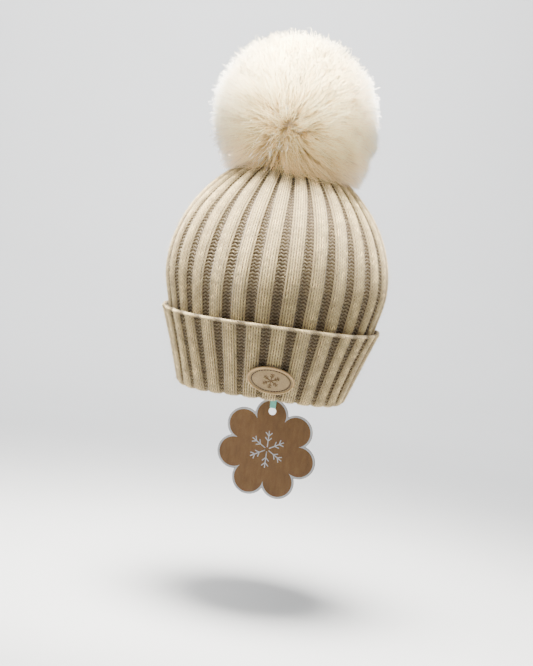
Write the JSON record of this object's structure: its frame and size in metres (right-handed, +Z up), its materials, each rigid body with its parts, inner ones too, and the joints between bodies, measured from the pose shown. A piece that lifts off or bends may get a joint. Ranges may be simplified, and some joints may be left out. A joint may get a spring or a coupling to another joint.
{
  "type": "pom pom beanie",
  "caption": "Child's rib-knit beanie with a turned-up cuff, fleece lining, oval stitched patch, removable faux-fur pom and a swing tag on a ribbon.",
  "frame": {"origin": "centre of the head opening, in the plane of the brim's lowest edge", "axes": "+Z up along the hat's axis towards the pom; -Y towards the front, where the patch is; +X towards the left side of the wearer"},
  "size_m": [0.17, 0.17, 0.3643],
  "materials": {
    "rib_knit": "soft spun oatmeal yarn",
    "fleece": "brushed fleece",
    "thread": "spun thread",
    "dark_thread": "waxed thread",
    "satin": "satin weave",
    "leatherette": "matte grained",
    "felt": "pressed felt",
    "snap_metal": "nickel plated",
    "pin_brass": "polished",
    "disc_plastic": "moulded",
    "faux_fur": "long soft pile",
    "stuffing": "loose fibre",
    "ribbon": "woven ribbon",
    "kraft_card": "uncoated kraft with a silver-grey border"
  },
  "bodies": {
    "hat": {"knit_tube": "rib_knit", "crown_gather_thread": "rib_knit", "back_seam_thread": "thread", "lining_band": "fleece", "lining_gore_front_right": "fleece", "lining_gore_back_right": "fleece", "lining_gore_back_left": "fleece", "lining_gore_front_left": "fleece", "lining_hem_thread": "thread", "lining_join_thread": "thread", "gore_thread_side_to_side": "thread", "gore_thread_front_to_back": "thread", "care_label": "satin", "patch": "leatherette", "patch_thread": "dark_thread", "tag_pin_wire": "pin_brass", "tag_pin_cap": "pin_brass"},
    "crown_snap": {"crown_backing_disc": "felt", "snap_socket_cap": "snap_metal", "snap_socket": "snap_metal"},
    "snap_ring": {"snap_spring": "snap_metal"},
    "pom": {"snap_stud": "snap_metal", "snap_stud_cap": "snap_metal", "pom_base_disc": "disc_plastic", "pom_fur": "faux_fur", "pom_stuffing": "stuffing", "pom_drawstring": "thread"},
    "tag_loop": {"tag_ribbon": "ribbon"},
    "tag": {"tag_card": "kraft_card"}
  },
  "joints": [
    {"name": "pom_flop", "type": "hinge", "parent": "hat", "child": "crown_snap", "pos_m": [0, 0, 0.181], "axis": [0, 1, 0], "range_deg": [-8, 8], "stiffness_Nm_per_rad": 0.25},
    {"name": "pom_turn", "type": "hinge", "parent": "crown_snap", "child": "snap_ring", "pos_m": [0, 0, 0.1871], "axis": [0, 0, 1], "continuous": true},
    {"name": "pom_pull", "type": "slide", "parent": "snap_ring", "child": "pom", "axis": [0, 0, 1], "range_m": [0, 0.05]},
    {"name": "tag_swing", "type": "hinge", "parent": "hat", "child": "tag_loop", "pos_m": [0.01613, 0.04965, 0.007], "axis": [0.9511, -0.309, 0], "range_deg": [-60, 20]},
    {"name": "tag_sway", "type": "hinge", "parent": "tag_loop", "child": "tag", "pos_m": [0.01613, 0.04965, -0.021], "axis": [0.309, 0.9511, 0], "range_deg": [-45, 45]}
  ]
}
